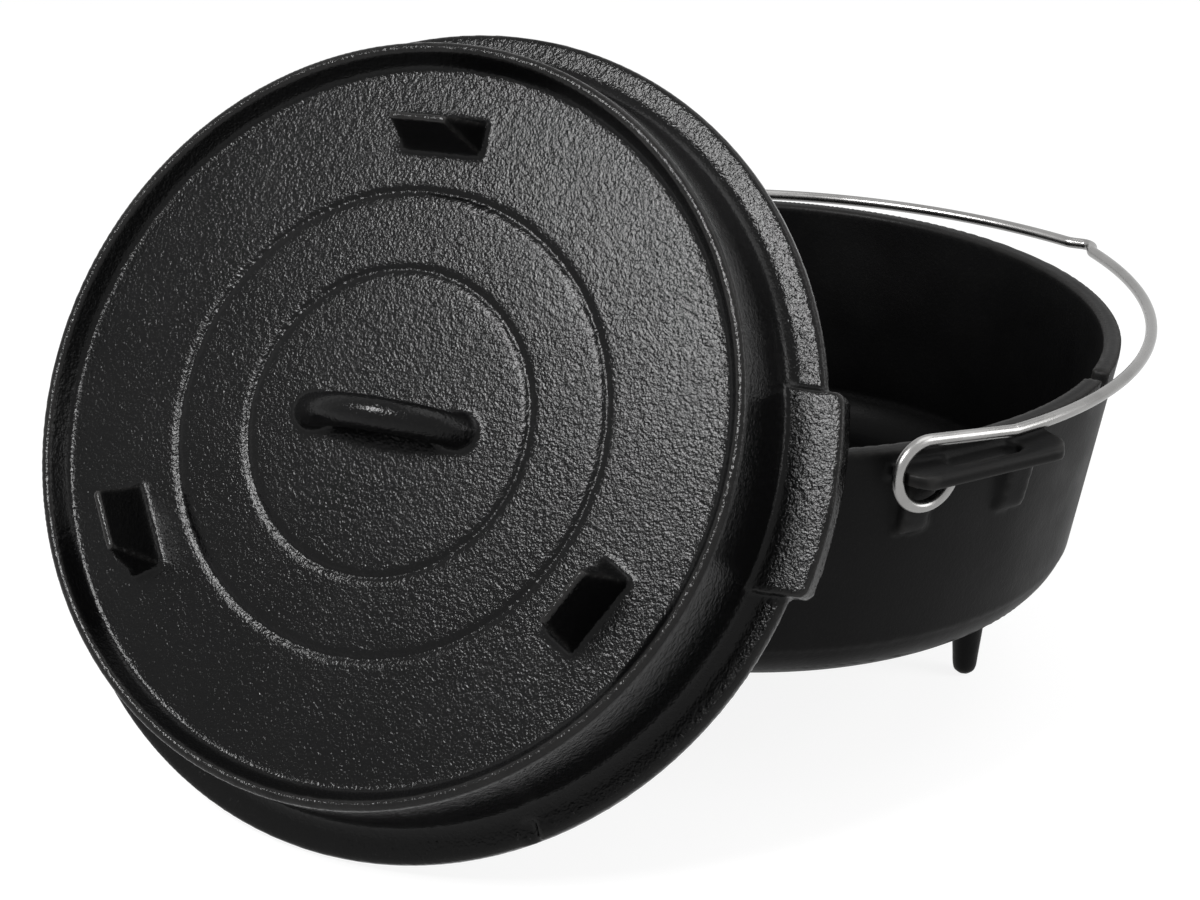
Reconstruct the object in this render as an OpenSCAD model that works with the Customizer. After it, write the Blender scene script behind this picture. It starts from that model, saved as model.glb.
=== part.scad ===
// Camp dutch oven: a cast pot on three legs, a cast lid leaning on it, and a wire bail.
// Millimetres, +Z up. The origin is on the pot's axis, on the ground; the ears lie on the X axis.

/* [Pot] */
// Height of the rim over the ground
rim_height = 154; // [148:0.5:160]
// Outer radius of the rim
rim_radius = 157; // [156:0.5:159]
// Width of the flat rim; the wall thins below it
rim_width = 7.2; // [6.5:0.1:8]
// Lean of the wall, in degrees from upright
wall_lean = 9.4; // [8:0.1:10.5]
// Radius of the round corner under the wall
corner_radius = 26; // [20:1:34]
// Thickness of the bottom
bottom_thick = 5; // [4.5:0.5:8]

/* [Legs and ears] */
// Height of the bottom over the ground
leg_height = 50; // [44:1:54]
// Distance of each leg from the pot's axis
leg_reach = 104; // [98:1:106]
// Diameter of a leg at its foot
leg_foot_d = 10; // [8:0.5:12]
// How far an ear stands out beyond the rim
ear_out = 14.5; // [13.5:0.5:17]
// Half the length of an ear
ear_half = 36; // [34:0.5:36.5]
// Thickness of an ear
ear_thick = 5.7; // [5:0.1:6.2]

/* [Lid] */
// Radius of the flange
lid_radius = 160; // [159:0.5:161]
// Thickness of the flange
flange_thick = 6; // [5:0.5:6.5]
// Height of the lip over the flange
lip_height = 40; // [37:0.5:42]
// Depth of the plate below the lip
plate_drop = 9; // [7:0.5:11]
// Thickness of the plate
plate_thick = 5; // [4.5:0.5:7]
// Height of a lid foot over the plate
foot_height = 25; // [24.5:0.5:28]
// Diameter of the loop handle's bar
loop_d = 13; // [11:0.5:13]

/* [Bail] */
// Diameter of the wire
wire_d = 4.8; // [4.2:0.1:5.2]
// Radius of the eye at each end, to the middle of the wire
eye_radius = 12.9; // [12.8:0.1:13.4]

/* [Hidden] */
$fn = 96;
tiny = 0.01;
far = 400;

rim_inner = rim_radius - rim_width;
inner_draft = 1.2;
bottom_z = leg_height;
leg_angles = [47, 167, 287];
leg_top_d = 19;
rim_notch_angle = 32.6;

ear_reach = rim_radius + ear_out;
ear_top = rim_height - 5.3;
ear_low = ear_top - ear_thick;
ear_root = rim_inner + 0.8;
ear_cut = [7, 5.2];
ear_chamfer = 1;
slot_from = rim_radius + 0.6;
slot_to = ear_reach - 6.4;
slot_half = 17;
rib_width = 12.5;
rib_place = 23.5;
rib_drop = 25;
rib_gap = 0.5;

// The lid's own frame has its middle on the upper face of the flange
wall_top_r = lid_radius - 16.5;
wall_foot_r = wall_top_r + 2;
lip_width = 4;
plate_top = lip_height - plate_drop;
plate_low = plate_top - plate_thick;
hollow_r = wall_top_r - 5;
seat_depth = 2;
seat_outer = rim_inner - 1.4;
foot_place = 109.5;
foot_angles = [90, 210, 330];
tab_reach = lid_radius + 7.3;
tab_angle = 13.5;
tab_rise = 3.5;
loop_span = 31;
loop_rise = foot_height - 1 - loop_d / 2;
ring_radii = [58, 88];
ring_cut = [2.8, 1.1];

// Where the lid leans: on its lower edge on the ground, its hollow side over the rim
lid_lean = 31.1;
lid_turn = -58.9;
lid_spin = 3.6;
edge_round = 1.6;
lean_gap = 0.5;
lid_side = -0.38 * rim_radius;
lid_z = (flange_thick - edge_round) * sin(lid_lean)
    + (lid_radius - edge_round) * cos(lid_lean) + edge_round;
lid_axis = [cos(lid_lean) * cos(lid_turn), cos(lid_lean) * sin(lid_turn), sin(lid_lean)];
rim_points = [for (a = [lid_turn - 45:0.5:lid_turn + 45], r = [rim_inner:rim_width / 10:rim_radius + tiny])
    [r * cos(a), r * sin(a), rim_height]];

// Middle of the lid, moved out from the pot's axis
function lid_middle(out) = [
    out * cos(lid_turn) - lid_side * sin(lid_turn), out * sin(lid_turn) + lid_side * cos(lid_turn), lid_z
];
// A rim point is free either inside the lid's hollow or below its seat ring
function point_gap(d, w) =
    max(hollow_r + 2 - norm(d - w * lid_axis), -w - flange_thick - seat_depth);
function rim_gap(out) =
    min([for (p = rim_points) point_gap(p - lid_middle(out), (p - lid_middle(out)) * lid_axis)]);
// The lid is moved in until the gap is as small as wanted
function lean_out(near, clear, i = 0) =
    i > 24 ? clear
    : rim_gap((near + clear) / 2) < lean_gap ? lean_out((near + clear) / 2, clear, i + 1)
    : lean_out(near, (near + clear) / 2, i + 1);
lid_at = lid_middle(lean_out(0.7 * rim_radius, 1.5 * rim_radius));

// The bail turns about the middle of its eyes, each of which stands round the arm at one end of an ear
eye_x = (slot_from + slot_to) / 2;
eye_y = -(ear_half + slot_half) / 2;
eye_z = (ear_top + ear_low) / 2 + 0.3;
rib_out = eye_x - wire_d / 2 - rib_gap;
rib_foot = rim_radius - (rim_height - ear_low + rib_drop) * tan(wall_lean) + 0.8;
strand_rise = 9.6;
bail_droop = 0.86;
neck_turn = 4.8;
neck_radius = 20;
eye_sweep = 265;
side_turn = 6.7;
side_bend = 12;
bow_end = 12.9;
kink_turn = 40;
kink_straight = 4;
kink_radius = [5, 7];

// Pot

// A pot shape down to floor z with corner radius r, whose wall meets the top at top_r
module pot_outline(floor_z, r, top_r, lean) {
    mid_z = floor_z + r;
    foot_x = r * cos(lean);
    foot_z = mid_z - r * sin(lean);
    mid_x = top_r - (rim_height - foot_z) * tan(lean) - foot_x;
    polygon([
        [0, floor_z], [mid_x, floor_z], [mid_x + foot_x, foot_z], [top_r, rim_height], [0, rim_height]
    ]);
    intersection() {
        translate([mid_x, mid_z]) circle(r);
        translate([0, floor_z]) square([far, 2 * r]);
    }
}

module pot_bowl() {
    rotate_extrude() difference() {
        pot_outline(bottom_z, corner_radius, rim_radius, wall_lean);
        translate([0, tiny])
            pot_outline(bottom_z + bottom_thick, corner_radius - 4, rim_inner, wall_lean - inner_draft);
    }
}

module leg() {
    foot_round = 2;
    cylinder(d1 = leg_foot_d - 2 * foot_round, d2 = leg_foot_d, h = foot_round);
    translate([0, 0, foot_round])
        cylinder(d1 = leg_foot_d, d2 = leg_top_d, h = leg_height + 3 - foot_round);
}

module ear_plan() {
    cut_x = ear_reach - ear_cut[0];
    polygon([
        [ear_root, -ear_half], [cut_x, -ear_half], [ear_reach, ear_cut[1] - ear_half],
        [ear_reach, ear_half - ear_cut[1]], [cut_x, ear_half], [ear_root, ear_half]
    ]);
}

module ear_section() {
    polygon([
        [ear_root, ear_low], [ear_reach, ear_low], [ear_reach, ear_top - ear_chamfer],
        [ear_reach - ear_chamfer, ear_top], [ear_root, ear_top]
    ]);
}

module slot_plan() {
    r = (slot_to - slot_from) / 2;
    for (s = [-1, 1]) translate([slot_from + r, s * (slot_half - r)]) circle(r);
    translate([slot_from, r - slot_half]) square([2 * r, 2 * (slot_half - r)]);
}

module ear() {
    difference() {
        intersection() {
            translate([0, 0, ear_low]) linear_extrude(ear_thick) ear_plan();
            rotate([90, 0, 0]) translate([0, 0, -far / 2]) linear_extrude(far) ear_section();
        }
        translate([0, 0, ear_low - 1]) linear_extrude(ear_thick + 2) slot_plan();
    }
    for (s = [-1, 1])
        translate([0, s * rib_place + rib_width / 2, 0]) rotate([90, 0, 0])
            linear_extrude(rib_width) polygon([
                [ear_root, ear_low + 1], [rib_out, ear_low + 1], [rib_out, ear_low - 3],
                [rib_foot + 1.5, ear_low - rib_drop + 3], [rib_foot, ear_low - rib_drop],
                [ear_root - 4, ear_low - rib_drop]
            ]);
}

module pot_solid() {
    difference() {
        union() {
            pot_bowl();
            for (a = leg_angles) rotate([0, 0, a]) translate([leg_reach, 0, 0]) leg();
            for (a = [0, 180]) rotate([0, 0, a]) ear();
        }
        // The notch across the rim, for a thermometer's lead
        rotate([0, 0, rim_notch_angle]) translate([rim_inner - 6, 0, rim_height - 2.5])
            rotate([0, 90, 0]) cylinder(d = 9, h = rim_width + 14);
        rotate([0, 0, rim_notch_angle]) translate([rim_inner - 6, -4.5, rim_height - 2.5])
            cube([rim_width + 14, 9, 10]);
    }
}

module pot() {
    color("#1b1b1c") pot_solid();
}

// Lid

module lid_section() {
    // flange with a rounded edge
    translate([0, -flange_thick]) square([lid_radius - edge_round, flange_thick]);
    translate([0, edge_round - flange_thick])
        square([lid_radius, flange_thick - 2 * edge_round]);
    for (z = [edge_round - flange_thick, -edge_round])
        translate([lid_radius - edge_round, z]) circle(edge_round);
    // wall up to the lip
    polygon([[0, -1], [wall_foot_r + 5, -1], [wall_foot_r + 5, 0], [wall_foot_r + 1.4, 1.5],
        [wall_foot_r, 5], [wall_top_r, lip_height - 1], [wall_top_r - 1, lip_height], [0, lip_height]]);
    // ring that seats inside the rim
    translate([0, -flange_thick - seat_depth]) square([seat_outer, seat_depth + 1]);
}

module lid_hollows() {
    // pan on top, with a sloping inner side
    lip_r = wall_top_r - lip_width;
    polygon([[0, plate_top], [lip_r - 3.5, plate_top], [lip_r, lip_height - 1], [lip_r, far], [0, far]]);
    // hollow underneath
    polygon([[0, -far], [hollow_r + 2, -far], [hollow_r + 2, -flange_thick], [hollow_r, plate_low - 4],
        [hollow_r - 4, plate_low], [0, plate_low]]);
}

module foot() {
    base = [12.8, 33];
    top = [2.5, 23];
    sink = 1;
    slope = [for (i = [0, 1]) (base[i] - top[i]) / 2 / foot_height];
    low = [for (i = [0, 1]) base[i] / 2 + slope[i] * sink];
    intersection() {
        rotate([90, 0, 0]) translate([0, 0, -far / 2]) linear_extrude(far) polygon([
            [-low[0], -sink], [low[0], -sink], [top[0] / 2, foot_height], [-top[0] / 2, foot_height]
        ]);
        rotate([90, 0, 90]) translate([0, 0, -far / 2]) linear_extrude(far) polygon([
            [-low[1], -sink], [low[1], -sink], [top[1] / 2, foot_height], [-top[1] / 2, foot_height]
        ]);
    }
}

module loop_handle() {
    r = (loop_span * loop_span + loop_rise * loop_rise) / (2 * loop_rise);
    intersection() {
        translate([0, 0, loop_rise - r]) rotate([90, 0, 0])
            rotate_extrude() translate([r, 0]) circle(d = loop_d);
        translate([-far / 2, -far / 2, -2]) cube([far, far, far]);
    }
}

module tab() {
    cut = 6;
    in_r = wall_foot_r - 2;
    half = lid_radius * sin(tab_angle);
    intersection() {
        difference() {
            translate([0, 0, -flange_thick]) cylinder(r = tab_reach, h = flange_thick + tab_rise);
            translate([0, 0, -flange_thick - 1]) cylinder(r = in_r, h = far);
        }
        translate([0, 0, -flange_thick - 1]) linear_extrude(far) polygon([
            [in_r - 10, -half], [tab_reach - cut, -half], [tab_reach, cut - half],
            [tab_reach, half - cut], [tab_reach - cut, half], [in_r - 10, half]
        ]);
    }
}

module lid_shape() {
    difference() {
        union() {
            rotate_extrude() difference() {
                lid_section();
                lid_hollows();
            }
            for (a = [0, 180]) rotate([0, 0, a]) tab();
        }
        // shallow recess across the flange
        rotate([0, 0, -61]) translate([wall_foot_r + 6, 0, 2.5]) rotate([0, 90, 0])
            cylinder(d = 9.5, h = 30);
        // plain rings cut in the plate
        for (r = ring_radii) translate([0, 0, plate_top - ring_cut[1]])
            difference() {
                cylinder(r = r + ring_cut[0] / 2, h = 2);
                translate([0, 0, -1]) cylinder(r = r - ring_cut[0] / 2, h = 4);
            }
    }
    for (a = foot_angles) rotate([0, 0, a]) translate([foot_place, 0, plate_top]) foot();
    translate([0, 0, plate_top]) loop_handle();
}

module lid() {
    color("#202021")
        translate(lid_at) rotate([90 - lid_lean, 0, lid_turn + 90])
            rotate([0, 0, lid_spin]) lid_shape();
}

// Bail

// A thin band, a hair wider than the wire, joins two bends
module band() {
    rotate([0, 90, 0]) cylinder(d = wire_d + 0.1, h = 0.6, center = true);
}

// One run of wire: each step is [radius, turn] for a bend in the plane, or [0, length] for a straight
module wire(steps, end_band = false, i = 0) {
    if (i > 0 && (i < len(steps) || end_band)) band();
    if (i < len(steps)) {
        s = steps[i];
        if (s[0] == 0) {
            rotate([0, 90, 0]) cylinder(d = wire_d, h = s[1]);
            translate([s[1], 0, 0]) wire(steps, end_band, i + 1);
        } else {
            side = s[1] < 0 ? -1 : 1;
            mirror([0, side < 0 ? 1 : 0, 0]) {
                translate([0, s[0], 0]) rotate([0, 0, -90])
                    rotate_extrude(angle = abs(s[1])) translate([s[0], 0]) circle(d = wire_d);
            }
            translate([s[0] * sin(abs(s[1])), side * s[0] * (1 - cos(s[1])), 0])
                rotate([0, 0, s[1]]) wire(steps, end_band, i + 1);
        }
    }
}

// Half the bail starts at the eye's middle and runs out along the arm to the kink
neck_straight = (eye_radius * cos(neck_turn) - strand_rise
    - neck_radius * (1 - cos(neck_turn))) / sin(neck_turn);
neck_reach = eye_radius * sin(neck_turn) + neck_straight * cos(neck_turn)
    + neck_radius * sin(neck_turn);
kink_back = kink_turn - bow_end;
kink_span = kink_radius[0] * sin(kink_turn) + kink_straight * cos(kink_turn)
    + kink_radius[1] * (sin(kink_turn) - sin(bow_end));
// The bow takes up the rest of the half width
bow_radius = (eye_x - kink_span - side_bend * (1 - cos(side_turn))) / (cos(side_turn) - sin(bow_end));

module half_bail(with_kink) {
    bow = [
        [side_bend, side_turn],
        [bow_radius, 90 - side_turn - bow_end],
        [kink_radius[1], -kink_back],
        [0, kink_straight]
    ];
    translate([eye_x, neck_reach, strand_rise]) {
        // the strand and the bow, one half of them with the bend in the middle of the kink
        rotate([0, 0, 90]) {
            band();
            wire(with_kink ? concat(bow, [[kink_radius[0], 2 * kink_turn]]) : bow, with_kink);
        }
        // the neck and the eye, in an upright plane
        rotate([0, 0, -90]) rotate([-90, 0, 0]) wire([
            [neck_radius, -neck_turn], [0, neck_straight], [eye_radius, eye_sweep]
        ]);
    }
}

module bail() {
    color("#b9b9b6")
        translate([0, eye_y, eye_z]) rotate([-bail_droop, 0, 0]) {
            half_bail(true);
            mirror([1, 0, 0]) half_bail(false);
        }
}

pot();
lid();
bail();
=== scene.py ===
import bpy
import bmesh
import math
import numpy
from mathutils import Vector, Matrix


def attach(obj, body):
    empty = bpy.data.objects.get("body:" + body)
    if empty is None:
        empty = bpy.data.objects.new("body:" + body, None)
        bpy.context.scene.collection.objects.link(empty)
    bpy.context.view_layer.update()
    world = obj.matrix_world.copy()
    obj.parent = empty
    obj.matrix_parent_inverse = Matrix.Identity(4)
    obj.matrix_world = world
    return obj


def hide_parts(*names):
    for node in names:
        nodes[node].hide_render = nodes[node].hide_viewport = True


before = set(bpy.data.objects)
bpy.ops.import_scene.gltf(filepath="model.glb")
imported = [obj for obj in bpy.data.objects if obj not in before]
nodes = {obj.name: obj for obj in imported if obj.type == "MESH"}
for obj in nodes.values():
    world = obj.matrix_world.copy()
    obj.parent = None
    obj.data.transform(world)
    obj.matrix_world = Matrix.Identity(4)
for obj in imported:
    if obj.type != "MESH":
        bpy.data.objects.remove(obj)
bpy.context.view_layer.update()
scene = bpy.context.scene
print("frame loaded:", sorted(nodes))


def newGroup(name, inputs, outputs):
    tree = bpy.data.node_groups.new(name, "ShaderNodeTree")
    for label, kind, value in inputs:
        socket = tree.interface.new_socket(name=label, in_out="INPUT", socket_type=kind)
        if value is not None:
            socket.default_value = value
    for label, kind in outputs:
        tree.interface.new_socket(name=label, in_out="OUTPUT", socket_type=kind)
    return tree, tree.nodes.new("NodeGroupInput"), tree.nodes.new("NodeGroupOutput")


def mathNode(tree, operation, a, b=None, c=None):
    node = tree.nodes.new("ShaderNodeMath")
    node.operation = operation
    for i, value in enumerate((a, b, c)):
        if value is None:
            continue
        if isinstance(value, (int, float)):
            node.inputs[i].default_value = value
        else:
            tree.links.new(value, node.inputs[i])
    return node.outputs[0]


def noiseNode(tree, vector, scale, detail, roughness=0.55):
    node = tree.nodes.new("ShaderNodeTexNoise")
    node.inputs["Detail"].default_value = detail
    node.inputs["Roughness"].default_value = roughness
    tree.links.new(vector, node.inputs["Vector"])
    if isinstance(scale, (int, float)):
        node.inputs["Scale"].default_value = scale
    else:
        tree.links.new(scale, node.inputs["Scale"])
    return node.outputs["Fac"]


castSand = {
    "lumpShare": 0.42, "pitShare": 0.8,  # densities as shares of the grain's
    "blotchScale": 26.0, "pitDepth": 0.35, "pitBlend": 0.2,
    "grainHeight": 0.6, "lumpHeight": 0.7, "pitHeight": -0.5,
    "paintedGlintFrom": 0.56, "paintedGlintTo": 0.74,
}


def makeCastGrain(look):
    # sand grain, small pits, a slow blotch and the specks for painted glints, from one coordinate
    tree, start, end = newGroup("castGrain", (
        ("Vector", "NodeSocketVector", None),
        ("Grain Size", "NodeSocketFloat", 0.001),
    ), (("Height", "NodeSocketFloat"), ("Blotch", "NodeSocketFloat"), ("Painted Glint", "NodeSocketFloat")))
    vector = start.outputs["Vector"]
    density = mathNode(tree, "DIVIDE", 1.0, start.outputs["Grain Size"])
    grain = noiseNode(tree, vector, density, detail=2.0)
    lumpDensity = mathNode(tree, "MULTIPLY", density, look["lumpShare"])
    lumps = noiseNode(tree, vector, lumpDensity, detail=2.0)
    blotch = noiseNode(tree, vector, look["blotchScale"], detail=4.0, roughness=0.6)
    cells = tree.nodes.new("ShaderNodeTexVoronoi")
    tree.links.new(vector, cells.inputs["Vector"])
    pitDensity = mathNode(tree, "MULTIPLY", density, look["pitShare"])
    tree.links.new(pitDensity, cells.inputs["Scale"])
    toMiddle = cells.outputs["Distance"]
    pit = mathNode(tree, "SMOOTH_MIN", toMiddle, look["pitDepth"], look["pitBlend"])
    height = mathNode(tree, "MULTIPLY", lumps, look["lumpHeight"])
    height = mathNode(tree, "MULTIPLY_ADD", grain, look["grainHeight"], height)
    height = mathNode(tree, "MULTIPLY_ADD", pit, look["pitHeight"], height)
    # painted glints: the grain's highest specks, which the colour lightens
    paintedGlint = tree.nodes.new("ShaderNodeMapRange")
    paintedGlint.inputs["From Min"].default_value = look["paintedGlintFrom"]
    paintedGlint.inputs["From Max"].default_value = look["paintedGlintTo"]
    tree.links.new(grain, paintedGlint.inputs["Value"])
    tree.links.new(height, end.inputs["Height"])
    tree.links.new(blotch, end.inputs["Blotch"])
    tree.links.new(paintedGlint.outputs[0], end.inputs["Painted Glint"])
    return tree


castGrain = makeCastGrain(castSand)
print("shared grain ready")

castWearAndHighlight = {  # how the blotches break up the rubbed edges, worn and with a painted highlight, and the sheen
    "rubHighlightGain": 1.2, "rubHighlightLeast": 0.1, "blotchFrom": 0.3, "blotchTo": 0.7, "rubPolish": -0.12,
}


def makeIron(look):
    material = bpy.data.materials.new(look["name"] + "Iron")
    material.use_nodes = True
    tree = material.node_tree
    shader = tree.nodes["Principled BSDF"]
    shader.inputs["Metallic"].default_value = 0.0
    shader.inputs["IOR"].default_value = 1.5
    shader.inputs["Specular IOR Level"].default_value = look["shine"]
    place = tree.nodes.new("ShaderNodeTexCoord")
    grain = tree.nodes.new("ShaderNodeGroup")
    grain.node_tree = castGrain
    grain.inputs["Grain Size"].default_value = look["grainSize"]
    tree.links.new(place.outputs["Object"], grain.inputs["Vector"])
    # painted glints: the colour lightens on the grain's peak specks, broken up by the blotch
    tone = tree.nodes.new("ShaderNodeMix")
    tone.data_type = "RGBA"
    tone.inputs["A"].default_value = (*look["dark"], 1)
    tone.inputs["B"].default_value = (*look["paintedGlintTone"], 1)
    paintedGlintShare = mathNode(tree, "MULTIPLY", grain.outputs["Painted Glint"], grain.outputs["Blotch"])
    tree.links.new(paintedGlintShare, tone.inputs["Factor"])
    # rubbed edges: worn colour and a painted highlight along each convex edge, smoother too
    edge = tree.nodes.new("ShaderNodeAttribute")
    edge.attribute_name = "edgeWearAndHighlight"
    patchy = mathNode(tree, "MULTIPLY_ADD", grain.outputs["Blotch"],
                      castWearAndHighlight["rubHighlightGain"], castWearAndHighlight["rubHighlightLeast"])
    rubAndHighlight = mathNode(tree, "MULTIPLY", edge.outputs["Fac"], patchy)
    rubAndHighlightTone = tree.nodes.new("ShaderNodeMix")
    rubAndHighlightTone.data_type = "RGBA"
    rubAndHighlightTone.inputs["B"].default_value = (*look["rubAndHighlightTone"], 1)
    tree.links.new(rubAndHighlight, rubAndHighlightTone.inputs["Factor"])
    tree.links.new(tone.outputs["Result"], rubAndHighlightTone.inputs["A"])
    tree.links.new(rubAndHighlightTone.outputs["Result"], shader.inputs["Base Color"])
    sheen = tree.nodes.new("ShaderNodeMapRange")
    sheen.inputs["From Min"].default_value = castWearAndHighlight["blotchFrom"]
    sheen.inputs["From Max"].default_value = castWearAndHighlight["blotchTo"]
    sheen.inputs["To Min"].default_value = look["smooth"]
    sheen.inputs["To Max"].default_value = look["rough"]
    tree.links.new(grain.outputs["Blotch"], sheen.inputs["Value"])
    polished = mathNode(tree, "MULTIPLY_ADD", rubAndHighlight, castWearAndHighlight["rubPolish"], sheen.outputs[0])
    tree.links.new(polished, shader.inputs["Roughness"])
    bump = tree.nodes.new("ShaderNodeBump")
    bump.inputs["Strength"].default_value = look["grainStrength"]
    bump.inputs["Distance"].default_value = look["grainDepth"]
    tree.links.new(grain.outputs["Height"], bump.inputs["Height"])
    tree.links.new(bump.outputs["Normal"], shader.inputs["Normal"])
    return material


def makeSteel(look):
    # drawn wire: fine lines along the wire, a little dull in patches
    material = bpy.data.materials.new(look["name"] + "Steel")
    material.use_nodes = True
    tree = material.node_tree
    shader = tree.nodes["Principled BSDF"]
    shader.inputs["Metallic"].default_value = 1.0
    along = tree.nodes.new("ShaderNodeUVMap")
    along.uv_map = "wireUV"
    stretch = tree.nodes.new("ShaderNodeMapping")
    stretch.inputs["Scale"].default_value = look["lineScale"]
    tree.links.new(along.outputs["UV"], stretch.inputs["Vector"])
    lines = noiseNode(tree, stretch.outputs["Vector"], 1.0, detail=3.0)
    place = tree.nodes.new("ShaderNodeTexCoord")
    patch = noiseNode(tree, place.outputs["Object"], look["patchScale"], detail=3.0)
    tone = tree.nodes.new("ShaderNodeMix")
    tone.data_type = "RGBA"
    tone.inputs["A"].default_value = (*look["dull"], 1)
    tone.inputs["B"].default_value = (*look["steel"], 1)
    patchTone = mathNode(tree, "MULTIPLY", patch, look["patchShare"])
    shade = mathNode(tree, "MULTIPLY_ADD", lines, look["lineShare"], patchTone)
    tree.links.new(shade, tone.inputs["Factor"])
    tree.links.new(tone.outputs["Result"], shader.inputs["Base Color"])
    dullness = mathNode(tree, "MULTIPLY_ADD", patch, look["patchRough"], look["smooth"])
    tree.links.new(dullness, shader.inputs["Roughness"])
    bump = tree.nodes.new("ShaderNodeBump")
    bump.inputs["Strength"].default_value = look["lineStrength"]
    bump.inputs["Distance"].default_value = look["lineDepth"]
    tree.links.new(lines, bump.inputs["Height"])
    tree.links.new(bump.outputs["Normal"], shader.inputs["Normal"])
    return material


def settle(piece):
    # bakes the modifiers into the mesh
    graph = bpy.context.evaluated_depsgraph_get()
    mesh = bpy.data.meshes.new_from_object(piece.evaluated_get(graph))
    piece.modifiers.clear()
    piece.data = mesh


def markEdges(mesh):
    # how far each point stands proud of its neighbours, for rubbed edges: worn, and lighter as a
    # painted edge highlight
    least, gain, spreads = 0.05, 5.0, 2
    spots = numpy.empty(len(mesh.vertices) * 3)
    mesh.vertices.foreach_get("co", spots)
    outward = numpy.empty(len(mesh.vertices) * 3)
    mesh.vertex_normals.foreach_get("vector", outward)
    pairs = numpy.empty(len(mesh.edges) * 2, dtype=numpy.int32)
    mesh.edges.foreach_get("vertices", pairs)
    spots, outward, pairs = spots.reshape(-1, 3), outward.reshape(-1, 3), pairs.reshape(-1, 2)
    proud, count = numpy.zeros(len(spots)), numpy.zeros(len(spots))
    for here, there in ((0, 1), (1, 0)):
        step = spots[pairs[:, here]] - spots[pairs[:, there]]
        step /= numpy.maximum(numpy.linalg.norm(step, axis=1, keepdims=True), 1e-9)
        numpy.add.at(proud, pairs[:, here], (outward[pairs[:, here]] * step).sum(axis=1))
        numpy.add.at(count, pairs[:, here], 1)
    proud = numpy.clip((proud / numpy.maximum(count, 1) - least) * gain, 0.0, 1.0)
    for again in range(spreads):
        total = numpy.zeros(len(spots))
        numpy.add.at(total, pairs[:, 0], proud[pairs[:, 1]])
        numpy.add.at(total, pairs[:, 1], proud[pairs[:, 0]])
        proud = 0.5 * proud + 0.5 * total / numpy.maximum(count, 1)
    mark = mesh.attributes.new("edgeWearAndHighlight", "FLOAT", "POINT")
    mark.data.foreach_set("value", proud)


potCasting = {
    "name": "potCasting", "node": "pot", "body": "pot", "slot": "pot_iron",
    "weld": 0.00001, "voxel": 0.0015, "rounding": 4, "keep": 0.54, "lean": None,
    "rim": {"height": 0.154, "round": 0.0012, "outer": (0.157, 9.4), "inner": (0.1498, 8.2)},
    # the lighter tone is painted glints on the grain's peaks
    "dark": (0.0015, 0.0015, 0.0016), "paintedGlintTone": (0.006, 0.0059, 0.0058),
    # the rubbed tone is the worn edges' colour and a painted edge highlight
    "rubAndHighlightTone": (0.035, 0.034, 0.033),
    "grainSize": 0.0009, "grainDepth": 0.00016, "grainStrength": 0.6,
    "smooth": 0.40, "rough": 0.54, "shine": 0.08,
}

lidCasting = {
    "name": "lidCasting", "node": "lid", "body": "lid", "slot": "lid_iron",
    "weld": 0.00001, "voxel": 0.0011, "rounding": 3, "keep": 0.34,
    "lean": (31.1, -58.9), "rim": None,
    # the lighter tone is painted glints on the grain's peaks
    "dark": (0.0018, 0.0018, 0.0019), "paintedGlintTone": (0.007, 0.0068, 0.0067),
    # the rubbed tone is the worn edges' colour and a painted edge highlight
    "rubAndHighlightTone": (0.034, 0.033, 0.032),
    "grainSize": 0.0010, "grainDepth": 0.00031, "grainStrength": 1.0,
    "smooth": 0.13, "rough": 0.20, "shine": 0.135,
}


def trueUp(mesh, rim):
    # takes the small flats out of the round walls and the rim between them
    spots = numpy.empty(len(mesh.vertices) * 3)
    mesh.vertices.foreach_get("co", spots)
    spots = spots.reshape(-1, 3)
    out = numpy.maximum(numpy.hypot(spots[:, 0], spots[:, 1]), 1e-6)
    newOut, newUp = out.copy(), spots[:, 2].copy()
    top, bend = rim["height"], rim["round"]
    wallReach, wallFade = 0.00015, 3.0  # the pull ends at this many reaches off the wall
    wallBelow = -0.002  # the wall starts this far under the rounded edge
    bendReach, flatReach = 0.0012, 0.0006  # how far off the rounded edge and the rim's top
    rise = spots[:, 2] - (top - bend)
    edges = []
    for side, (radius, lean) in ((1, rim["outer"]), (-1, rim["inner"])):
        lean = math.radians(lean)
        wanted = radius + (rise - bend) * math.tan(lean)
        near = numpy.clip(wallFade - numpy.abs(out - wanted) / wallReach, 0.0, 1.0)
        newOut += near * (rise < wallBelow) * (wanted - out)
        middle = radius - side * bend * (1 + side * math.sin(lean)) / math.cos(lean)
        away = side * (out - middle)
        reach = numpy.maximum(numpy.hypot(away, rise), 1e-6)
        turned = numpy.arctan2(rise, away)
        inBend = (turned > -side * lean) & (turned < math.pi / 2)
        inBend &= numpy.abs(reach - bend) < bendReach
        newOut[inBend] = middle + side * (away * bend / reach)[inBend]
        newUp[inBend] = top - bend + (rise * bend / reach)[inBend]
        edges.append(middle)
    flat = (out < edges[0]) & (out > edges[1]) & (numpy.abs(spots[:, 2] - top) < flatReach)
    newUp[flat] = top
    spots[:, :2] *= (newOut / out)[:, None]
    spots[:, 2] = newUp
    mesh.vertices.foreach_set("co", spots.ravel())
    mesh.update()


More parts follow.
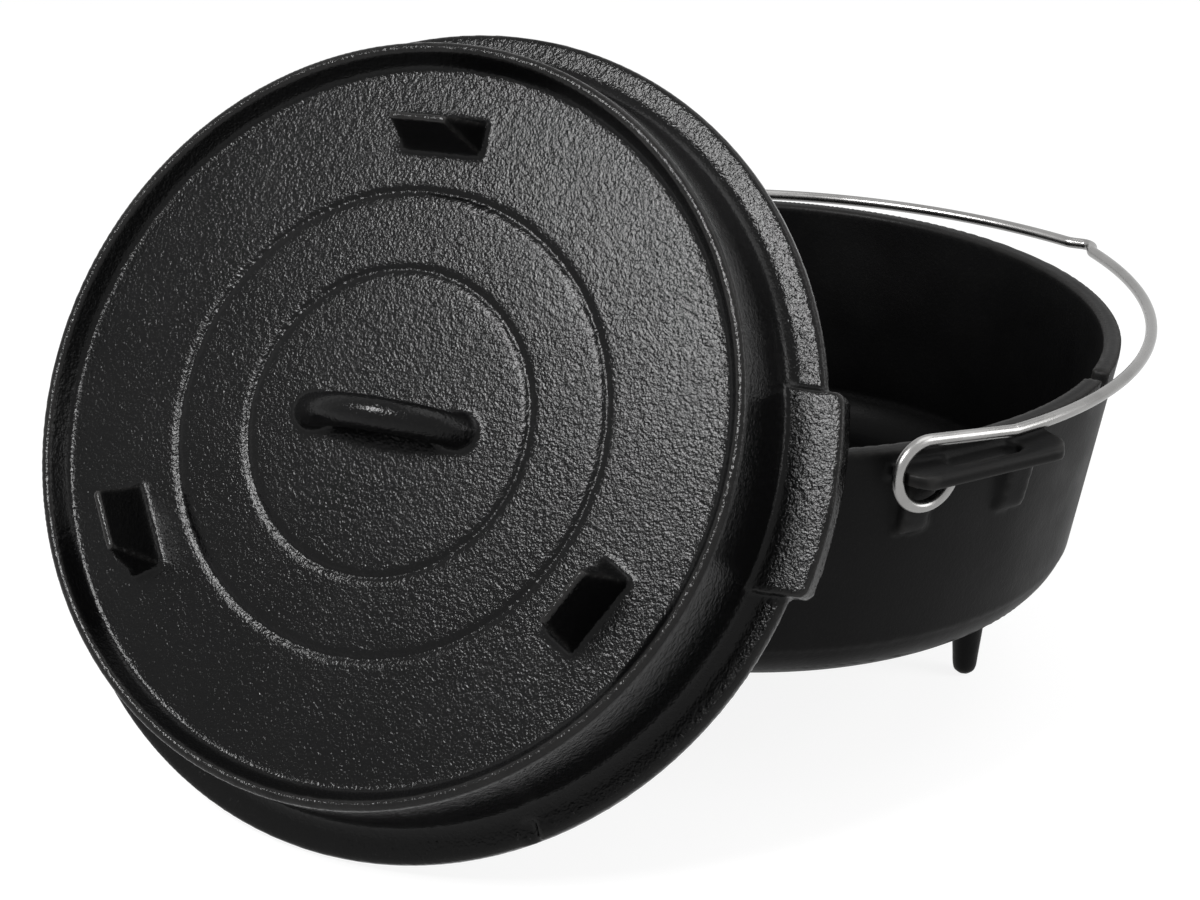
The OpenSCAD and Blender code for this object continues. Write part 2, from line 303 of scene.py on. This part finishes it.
def makeCasting(look):
    # the solid with its edges rounded as a sand mould leaves them
    mesh = nodes[look["node"]].data.copy()
    work = bmesh.new()
    work.from_mesh(mesh)
    bmesh.ops.remove_doubles(work, verts=work.verts, dist=look["weld"])
    work.to_mesh(mesh)
    work.free()
    turnBack = Matrix.Identity(4)
    if look["lean"]:  # lay it flat on the grid of the remesh, then lean it again
        lean, turn = (math.radians(a) for a in look["lean"])
        turnBack = Matrix.Rotation(turn, 4, "Z") @ Matrix.Rotation(math.pi / 2 - lean, 4, "Y")
        mesh.transform(turnBack.inverted())
    mesh.materials.clear()
    piece = bpy.data.objects.new(look["name"], mesh)
    scene.collection.objects.link(piece)
    remesh = piece.modifiers.new("sand", "REMESH")
    remesh.mode = "VOXEL"
    remesh.voxel_size = look["voxel"]
    rounding = piece.modifiers.new("rounding", "SMOOTH")
    rounding.factor = 0.5
    rounding.iterations = look["rounding"]
    if look["keep"] < 1:
        lighter = piece.modifiers.new("lighter", "DECIMATE")
        lighter.ratio = look["keep"]
    settle(piece)
    if look["rim"]:
        trueUp(piece.data, look["rim"])
    piece.data.transform(turnBack)
    piece.data.polygons.foreach_set("use_smooth", [True] * len(piece.data.polygons))
    markEdges(piece.data)
    piece.data.materials.clear()
    piece.data.materials.append(makeIron(look))
    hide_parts(look["node"])
    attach(piece, look["body"])
    print(look["name"], "triangles", sum(len(face.vertices) - 2 for face in piece.data.polygons))


bailWire = {  # metres and degrees, as the bent wire lies in the model
    "name": "bailWire", "node": "bail", "body": "bail", "slot": "bail_wire",
    "radius": 0.0024, "sides": 20,
    "pivot": (0.0, -0.0265, 0.14615), "droop": 0.86,
    "eyeX": 0.16135, "eyeRadius": 0.0129, "eyeSweep": 265, "strandRise": 0.0096,
    "neckTurn": 4.8, "neckRadius": 0.020, "sideTurn": 6.7, "sideBend": 0.012,
    "bowEnd": 12.9,
    "kinkRadii": (0.005, 0.007), "kinkTurn": 40, "kinkStraight": 0.004,
    "steel": (0.36, 0.356, 0.35), "dull": (0.13, 0.128, 0.125),
    "lineScale": (40.0, 260.0, 1.0), "lineStrength": 0.18, "lineDepth": 0.00006,
    "patchScale": 55.0, "patchRough": 0.14, "smooth": 0.2, "lineShare": 0.5, "patchShare": 0.7,
    "kinkSteps": 10, "bowSteps": 70, "sideSteps": 6, "neckSteps": 8, "runSteps": 5, "eyeSteps": 72,
}


def bendPath(look):
    # half the bail from the kink out to the eye, in its own frame about the pivot
    flat = [(0.0, 0.0)]

    def across(angle):
        return math.sin(math.radians(angle))

    def bend(radius, first, last, count):
        x, y = flat[-1]
        side = 1 if last > first else -1
        for i in range(1, count + 1):
            a = math.radians(first + (last - first) * i / count)
            b = math.radians(first)
            flat.append((x + side * radius * (math.sin(a) - math.sin(b)),
                         y - side * radius * (math.cos(b) - math.cos(a))))

    turn, bowEnd, side = look["kinkTurn"], look["bowEnd"], 90 - look["sideTurn"]
    inner, outer = look["kinkRadii"]
    width = look["eyeX"] - inner * across(turn) - look["kinkStraight"] * across(90 - turn)
    width -= outer * (across(turn) - across(bowEnd)) + look["sideBend"] * (1 - across(side))
    bow = width / (across(side) - across(bowEnd))
    bend(inner, 0, turn, look["kinkSteps"])
    x, y = flat[-1]
    slope = math.radians(turn)
    length = look["kinkStraight"]
    flat.append((x + length * math.cos(slope), y - length * math.sin(slope)))
    bend(outer, turn, bowEnd, look["kinkSteps"])
    bend(bow, bowEnd, side, look["bowSteps"])
    bend(look["sideBend"], side, 90, look["sideSteps"])
    half, low = flat[-1]
    r, neck, rise = look["eyeRadius"], math.radians(look["neckTurn"]), look["strandRise"]
    soft = look["neckRadius"]
    run = (r * math.cos(neck) - rise - soft * (1 - math.cos(neck))) / math.sin(neck)
    reach = r * math.sin(neck) + run * math.cos(neck) + soft * math.sin(neck)
    spots = [Vector((x, y + reach - low, rise)) for x, y in flat]
    for i in range(look["neckSteps"] + 1):  # bend up into the neck
        a = neck * i / look["neckSteps"]
        spots.append(Vector((half, reach - soft * math.sin(a), rise + soft * (1 - math.cos(a)))))
    foot = spots[-1]
    for i in range(1, look["runSteps"]):  # the straight neck
        d = run * i / look["runSteps"]
        spots.append(foot + Vector((0, -d * math.cos(neck), d * math.sin(neck))))
    for i in range(look["eyeSteps"] + 1):  # the eye
        a = math.pi / 2 - neck + math.radians(look["eyeSweep"]) * i / look["eyeSteps"]
        spots.append(Vector((half, r * math.cos(a), r * math.sin(a))))
    return spots


def makeWireTree(steel):
    tree = bpy.data.node_groups.new("wireSweep", "GeometryNodeTree")
    tree.interface.new_socket(name="Geometry", in_out="INPUT", socket_type="NodeSocketGeometry")
    tree.interface.new_socket(name="Wire Radius", in_out="INPUT", socket_type="NodeSocketFloat")
    tree.interface.new_socket(name="Sides", in_out="INPUT", socket_type="NodeSocketInt")
    tree.interface.new_socket(name="Geometry", in_out="OUTPUT", socket_type="NodeSocketGeometry")
    make, link = tree.nodes.new, tree.links.new
    start, end = make("NodeGroupInput"), make("NodeGroupOutput")
    curve = make("GeometryNodeMeshToCurve")
    section = make("GeometryNodeCurvePrimitiveCircle")
    sweep = make("GeometryNodeCurveToMesh")
    sweep.inputs["Fill Caps"].default_value = True
    alongPath, aroundPath = make("GeometryNodeSplineParameter"), make("GeometryNodeSplineParameter")
    keepAlong = make("GeometryNodeStoreNamedAttribute")
    keepAround = make("GeometryNodeStoreNamedAttribute")
    for keep, name, source in ((keepAlong, "along", alongPath), (keepAround, "around", aroundPath)):
        keep.data_type, keep.domain = "FLOAT", "POINT"
        keep.inputs["Name"].default_value = name
        link(source.outputs["Factor"], keep.inputs["Value"])
    smooth, realize = make("GeometryNodeSetShadeSmooth"), make("GeometryNodeRealizeInstances")
    paint = make("GeometryNodeSetMaterial")
    paint.inputs["Material"].default_value = steel
    link(start.outputs["Geometry"], curve.inputs["Mesh"])
    link(curve.outputs["Curve"], keepAlong.inputs["Geometry"])
    link(start.outputs["Wire Radius"], section.inputs["Radius"])
    link(start.outputs["Sides"], section.inputs["Resolution"])
    link(section.outputs["Curve"], keepAround.inputs["Geometry"])
    link(keepAlong.outputs["Geometry"], sweep.inputs["Curve"])
    link(keepAround.outputs["Geometry"], sweep.inputs["Profile Curve"])
    link(sweep.outputs["Mesh"], smooth.inputs["Geometry"])
    link(smooth.outputs["Geometry"], realize.inputs["Geometry"])
    link(realize.outputs["Geometry"], paint.inputs["Geometry"])
    link(paint.outputs["Geometry"], end.inputs["Geometry"])
    return tree


def makeBail(look):
    half = bendPath(look)
    other = [Vector((-p.x, p.y, p.z)) for p in half[1:]]
    line = list(reversed(half)) + other
    lie = Matrix.Translation(look["pivot"]) @ Matrix.Rotation(-math.radians(look["droop"]), 4, "X")
    mesh = bpy.data.meshes.new(look["name"])
    mesh.from_pydata([lie @ p for p in line], [(i, i + 1) for i in range(len(line) - 1)], [])
    piece = bpy.data.objects.new(look["name"], mesh)
    scene.collection.objects.link(piece)
    steel = makeSteel(look)
    tree = makeWireTree(steel)
    sweep = piece.modifiers.new("sweep", "NODES")
    sweep.node_group = tree
    values = {"Wire Radius": look["radius"], "Sides": look["sides"]}
    for socket in tree.interface.items_tree:
        if socket.in_out == "INPUT" and socket.name in values:
            sweep[socket.identifier] = values[socket.name]
    settle(piece)
    mesh = piece.data
    along = [d.value for d in mesh.attributes["along"].data]
    around = [d.value for d in mesh.attributes["around"].data]
    uv = mesh.uv_layers.new(name="wireUV")
    for corner in mesh.loops:
        uv.data[corner.index].uv = (along[corner.vertex_index], around[corner.vertex_index])
    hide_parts(look["node"])
    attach(piece, look["body"])
    print(look["name"], "faces", len(mesh.polygons))


studio = {
    "eye": (0.8932, -0.6282, 0.5399), "yaw": 147.78, "pitch": -22.39, "roll": 1.222,
    "lens": 84.0, "sensor": 36.0, "sight": 50.0,
    "floorSize": 60.0, "floorDrop": 0.0004,
    "ambient": 0.28, "floorGlow": 0.88, "floorTint": 0.20, "paperTint": 0.82,
    "lamps": (  # name, place, aim, width, height, watts
        ("lidSoft", (0.23, -1.04, 1.12), (0.08, -0.10, 0.2), 0.42, 0.38, 23.0),
        ("overheadSoft", (0.25, 0.55, 1.6), (0.0, 0.0, 0.1), 1.3, 1.1, 9.0),
        ("sideSoft", (1.05, 0.95, 0.75), (0.05, 0.0, 0.1), 0.7, 0.9, 9.5),
    ),
}


def seenDirectly(tree):
    # one for the rays that show the background, nought for those that light the object
    ray = tree.nodes.new("ShaderNodeLightPath")
    glossy, through = ray.outputs["Is Glossy Ray"], ray.outputs["Is Transmission Ray"]
    mirrored = mathNode(tree, "MAXIMUM", glossy, through)
    return mathNode(tree, "MAXIMUM", ray.outputs["Is Camera Ray"], mirrored)


def makeFloor(look):
    half = look["floorSize"] / 2
    mesh = bpy.data.meshes.new("studioFloor")
    z = -look["floorDrop"]
    corners = [(-half, -half, z), (half, -half, z), (half, half, z), (-half, half, z)]
    mesh.from_pydata(corners, [], [(0, 1, 2, 3)])
    floor = bpy.data.objects.new("studioFloor", mesh)
    scene.collection.objects.link(floor)
    material = bpy.data.materials.new("palePaper")
    material.use_nodes = True
    tree = material.node_tree
    tree.nodes.remove(tree.nodes["Principled BSDF"])
    out = tree.nodes["Material Output"]
    seen = seenDirectly(tree)
    paper, shade = tree.nodes.new("ShaderNodeBsdfDiffuse"), tree.nodes.new("ShaderNodeBsdfDiffuse")
    paper.inputs["Color"].default_value = (look["paperTint"],) * 3 + (1,)
    shade.inputs["Color"].default_value = (look["floorTint"],) * 3 + (1,)
    glow = tree.nodes.new("ShaderNodeEmission")
    glow.inputs["Strength"].default_value = look["floorGlow"]
    both, pick = tree.nodes.new("ShaderNodeAddShader"), tree.nodes.new("ShaderNodeMixShader")
    tree.links.new(shade.outputs[0], both.inputs[0])
    tree.links.new(glow.outputs[0], both.inputs[1])
    tree.links.new(seen, pick.inputs[0])
    tree.links.new(paper.outputs[0], pick.inputs[1])
    tree.links.new(both.outputs[0], pick.inputs[2])
    tree.links.new(pick.outputs[0], out.inputs["Surface"])
    mesh.materials.append(material)


def makeRoom(look):
    world = bpy.data.worlds.new("paleRoom")
    scene.world = world
    world.use_nodes = True
    tree = world.node_tree
    sky = tree.nodes["Background"]
    seen = seenDirectly(tree)
    level = mathNode(tree, "MULTIPLY_ADD", seen, 1.0 - look["ambient"], look["ambient"])
    sky.inputs["Color"].default_value = (1, 1, 1, 1)
    tree.links.new(level, sky.inputs["Strength"])


def makeLamps(look):
    for name, spot, aim, width, height, watts in look["lamps"]:
        lamp = bpy.data.lights.new(name, "AREA")
        lamp.shape, lamp.energy = "RECTANGLE", watts
        lamp.size, lamp.size_y = width, height
        holder = bpy.data.objects.new(name, lamp)
        holder.location = spot
        holder.rotation_euler = (Vector(aim) - Vector(spot)).to_track_quat("-Z", "Y").to_euler()
        scene.collection.objects.link(holder)


def makeCamera(look):
    yaw, pitch, roll = (math.radians(look[k]) for k in ("yaw", "pitch", "roll"))
    level = math.cos(pitch)
    ahead = Vector((level * math.cos(yaw), level * math.sin(yaw), math.sin(pitch)))
    right = ahead.cross(Vector((0, 0, 1))).normalized()
    up = right.cross(ahead)
    turnedRight = right * math.cos(roll) + up * math.sin(roll)
    turnedUp = up * math.cos(roll) - right * math.sin(roll)
    camera = bpy.data.objects.new("photoCamera", bpy.data.cameras.new("photoCamera"))
    camera.data.lens = look["lens"]
    camera.data.sensor_width = look["sensor"]
    camera.data.clip_end = look["sight"]
    facing = Matrix((turnedRight, turnedUp, -ahead)).transposed().to_4x4()
    camera.matrix_world = Matrix.Translation(look["eye"]) @ facing
    scene.collection.objects.link(camera)
    scene.camera = camera


makeFloor(studio)
makeRoom(studio)
makeLamps(studio)
makeCamera(studio)
print("studio ready")
makeCasting(potCasting)
makeCasting(lidCasting)
makeBail(bailWire)

scene.view_settings.view_transform = "Standard"
